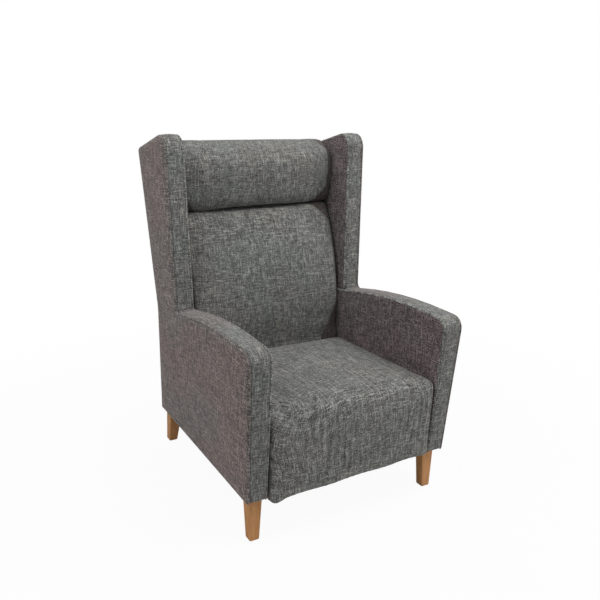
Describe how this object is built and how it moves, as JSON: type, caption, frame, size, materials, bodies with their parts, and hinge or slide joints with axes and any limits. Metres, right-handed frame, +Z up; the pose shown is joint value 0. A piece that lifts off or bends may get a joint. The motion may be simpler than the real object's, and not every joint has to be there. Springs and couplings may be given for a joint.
{
  "type": "acoustic high back lounge chair",
  "caption": "High-backed upholstered lounge chair with side wings, a headrest roll, closed arms and a sprung seat on tapered oak legs.",
  "frame": {"origin": "on the floor under the centre of the overall box", "axes": "+Z up, the front of the seat faces -Y, the chair's left and right sides lie along X"},
  "size_m": [0.7686, 0.8859, 1.1835],
  "materials": {
    "fabric": "grey melange plain-weave upholstery cloth with light slub threads, matt",
    "side_fabric": "the same grey melange cloth, slightly warmer in tone, matt",
    "oak": "tapered solid oak, clear satin lacquer",
    "beech": "planed beech frame timber, unfinished",
    "steel": "spring wire and bolts, bright steel",
    "webbing": "woven elastic webbing, black",
    "felt": "needled grey felt",
    "foam": "cut upholstery foam, cream",
    "dust_cloth": "black nonwoven dust cover",
    "glide": "moulded nylon glide, dark grey, matt"
  },
  "bodies": {
    "root": {"outer_side_panel_left": "side_fabric", "outer_side_panel_right": "side_fabric", "arm_band_left": "fabric", "arm_band_right": "fabric", "wing_band_left": "fabric", "wing_band_right": "fabric", "inner_arm_pad_left": "fabric", "inner_arm_pad_right": "fabric", "inner_wing_pad_left": "fabric", "inner_wing_pad_right": "fabric", "rear_post_left": "beech", "rear_post_right": "beech", "front_post_left": "beech", "front_post_right": "beech", "arm_rail_left": "beech", "arm_rail_right": "beech", "side_rail_left": "beech", "side_rail_right": "beech", "wing_post_left": "beech", "wing_post_right": "beech", "wing_top_rail_left": "beech", "wing_top_rail_right": "beech", "front_rail": "beech", "rear_seat_rail": "beech", "lumbar_rail": "beech", "middle_back_rail": "beech", "top_back_rail": "beech", "back_web_1": "webbing", "back_web_2": "webbing", "back_web_3": "webbing", "back_web_4": "webbing", "seat_spring_1": "steel", "seat_spring_2": "steel", "seat_spring_3": "steel", "seat_spring_4": "steel", "seat_spring_5": "steel", "seat_insulator": "felt", "seat_foam": "foam", "seat_cushion": "fabric", "back_pad": "fabric", "headrest_pad": "fabric", "back_top_band": "fabric", "outside_back": "fabric", "dust_cover": "dust_cloth", "leg_front_left": "oak", "glide_front_left": "glide", "leg_bolt_front_left": "steel", "corner_block_front_left": "beech", "leg_front_right": "oak", "glide_front_right": "glide", "leg_bolt_front_right": "steel", "corner_block_front_right": "beech", "leg_rear_left": "oak", "glide_rear_left": "glide", "leg_bolt_rear_left": "steel", "corner_block_rear_left": "beech", "leg_rear_right": "oak", "glide_rear_right": "glide", "leg_bolt_rear_right": "steel", "corner_block_rear_right": "beech"}
  },
  "joints": []
}
